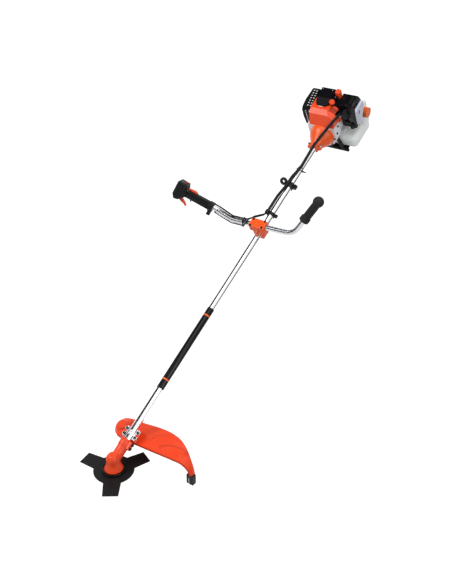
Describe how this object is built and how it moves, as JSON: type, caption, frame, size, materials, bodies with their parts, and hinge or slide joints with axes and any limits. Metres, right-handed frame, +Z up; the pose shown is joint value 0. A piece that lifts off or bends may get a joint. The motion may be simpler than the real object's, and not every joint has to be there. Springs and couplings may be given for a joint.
{
  "type": "brush cutter",
  "caption": "Petrol brush cutter: toothed blade and guard on an angled gear head, long straight tube, bike handlebar with throttle, two-stroke engine with tank.",
  "frame": {"origin": "centre of the harness eye on the tube", "axes": "+Z up in the working attitude with the blade level, +Y from the blade towards the engine, +X towards the user's left hand; the tube rises 30 degrees towards the engine"},
  "size_m": [0.6348, 1.6805, 1.0183],
  "materials": {
    "cast_orange": "glossy red-orange paint on a casting",
    "black_screw": "black oxide screws",
    "gear_steel": "oiled hardened steel",
    "bearing_steel": "ground bearing steel",
    "shaft_steel": "turned steel",
    "flange_black": "glossy black enamel",
    "blade_black": "satin black coated steel",
    "zinc_steel": "zinc plated steel",
    "guard_orange": "semi-gloss red-orange polypropylene",
    "black_plastic": "fine textured black nylon",
    "tube_chrome": "polished chromed tube",
    "bush_nylon": "natural nylon",
    "bar_silver": "satin silver tube",
    "clamp_orange": "glossy orange paint",
    "grip_rubber": "soft black rubber",
    "trigger_orange": "moulded orange plastic",
    "switch_red": "moulded red plastic",
    "cable_sheath": "black plastic sheath",
    "harness_black": "black painted clamp",
    "drum_steel": "turned steel drum",
    "clutch_lining": "sintered friction shoes",
    "cast_aluminium": "die-cast aluminium",
    "cowl_orange": "glossy red-orange moulding",
    "gloss_black": "glossy black moulding",
    "plug_steel": "nickel plated steel",
    "boot_orange": "orange rubber boot",
    "muffler_steel": "heat stained steel",
    "primer_rubber": "black rubber bulb",
    "tank_white": "translucent white polyethylene",
    "cap_orange": "orange moulded cap",
    "pulley_nylon": "natural nylon"
  },
  "bodies": {
    "machine": {"gear_case": "cast_orange", "gear_case_screws": "black_screw", "head_bearings": "bearing_steel", "guard": "guard_orange", "guard_saddle": "zinc_steel", "guard_screws": "black_screw", "knife_block": "black_plastic", "line_knife": "zinc_steel", "shaft_tube": "tube_chrome", "shaft_bushes": "bush_nylon", "handlebar": "bar_silver", "bar_clamp_base": "clamp_orange", "bar_clamp_cap": "clamp_orange", "bar_clamp_screws": "black_screw", "left_grip": "grip_rubber", "throttle_front_shell": "black_plastic", "throttle_rear_shell": "black_plastic", "throttle_pins": "shaft_steel", "throttle_collar": "black_plastic", "control_cables": "cable_sheath", "cable_loom": "cable_sheath", "cable_ties": "black_plastic", "cable_clip": "black_plastic", "harness_clamp": "harness_black", "clutch_case": "cast_orange", "drum_bearing": "bearing_steel", "crankcase": "cast_aluminium", "cylinder": "cast_aluminium", "engine_cowl": "cowl_orange", "cylinder_cover": "gloss_black", "spark_plug": "plug_steel", "plug_boot": "boot_orange", "muffler": "muffler_steel", "muffler_guard": "black_plastic", "carburettor": "cast_aluminium", "air_filter_cover": "gloss_black", "fuel_tank": "tank_white", "engine_stand": "black_plastic", "recoil_housing": "cowl_orange"},
    "blade_group": {"output_gear": "gear_steel", "output_spindle": "shaft_steel", "inner_flange": "flange_black", "blade": "blade_black", "outer_flange": "zinc_steel", "blade_nut": "zinc_steel"},
    "driveline": {"pinion": "gear_steel", "drive_shaft": "shaft_steel", "clutch_drum": "drum_steel"},
    "crank_group": {"crankshaft": "shaft_steel", "flywheel": "cast_aluminium", "clutch_shoes": "clutch_lining"},
    "piston": {"piston": "cast_aluminium"},
    "trigger": {"trigger": "trigger_orange"},
    "lock_lever": {"lock_out_lever": "trigger_orange"},
    "stop_slider": {"stop_switch": "switch_red"},
    "half_button": {"half_throttle_button": "black_plastic"},
    "cap": {"fuel_cap": "cap_orange"},
    "primer": {"primer_bulb": "primer_rubber"},
    "starter_handle": {"recoil_handle": "black_plastic"},
    "starter_pulley": {"recoil_pulley": "pulley_nylon"}
  },
  "joints": [
    {"name": "blade_spin", "type": "hinge", "parent": "machine", "child": "blade_group", "pos_m": [0.02192, -1.0811, -0.64948], "axis": [0, 0, 1], "continuous": true},
    {"name": "driveline_spin", "type": "hinge", "parent": "machine", "child": "driveline", "pos_m": [0.02192, -1.0811, -0.64948], "axis": [0, 0.866, 0.5], "continuous": true},
    {"name": "crank_spin", "type": "hinge", "parent": "machine", "child": "crank_group", "pos_m": [0.02192, 0.34611, 0.17452], "axis": [0, 0.866, 0.5], "continuous": true},
    {"name": "piston_slide", "type": "slide", "parent": "machine", "child": "piston", "axis": [0, -0.5, 0.866], "range_m": [-0.032, 0]},
    {"name": "trigger_pull", "type": "hinge", "parent": "machine", "child": "trigger", "pos_m": [-0.33344, -0.24924, -0.05876], "axis": [0.2891, -0.9445, 0.1558], "range_deg": [0, 16], "stiffness_Nm_per_rad": 0.5, "springref_deg": -22.92},
    {"name": "lock_lever_press", "type": "hinge", "parent": "machine", "child": "lock_lever", "pos_m": [-0.29462, -0.23286, -0.03144], "axis": [0.2891, -0.9445, 0.1558], "range_deg": [-7, 0], "stiffness_Nm_per_rad": 0.3, "springref_deg": 22.92},
    {"name": "stop_switch_slide", "type": "slide", "parent": "machine", "child": "stop_slider", "axis": [-0.9075, -0.2185, 0.3589], "range_m": [0, 0.0055]},
    {"name": "half_throttle_press", "type": "slide", "parent": "machine", "child": "half_button", "axis": [0.3049, 0.2452, 0.9203], "range_m": [0, 0.003], "stiffness_N_per_m": 500, "springref_m": -0.001},
    {"name": "fuel_cap_turn", "type": "hinge", "parent": "machine", "child": "cap", "pos_m": [0.12992, 0.40267, 0.20255], "axis": [1, 0, 0], "range_deg": [0, 540]},
    {"name": "primer_press", "type": "slide", "parent": "machine", "child": "primer", "axis": [0, 0.866, 0.5], "range_m": [0, 0.004], "stiffness_N_per_m": 2000, "springref_m": -0.001},
    {"name": "starter_pull", "type": "slide", "parent": "machine", "child": "starter_handle", "axis": [-0.342, -0.4698, 0.8138], "range_m": [0, 0.5], "stiffness_N_per_m": 20, "springref_m": -0.4},
    {"name": "starter_pulley_spin", "type": "hinge", "parent": "machine", "child": "starter_pulley", "pos_m": [0.02192, 0.39669, 0.20372], "axis": [0, 0.866, 0.5], "range_deg": [0, 1030]}
  ],
  "couplings": [
    {"joint": "driveline_spin", "follows": "blade_spin", "ratio": -1.3571},
    {"joint": "starter_pulley_spin", "follows": "starter_pull", "rad_per_m": 35.714}
  ]
}
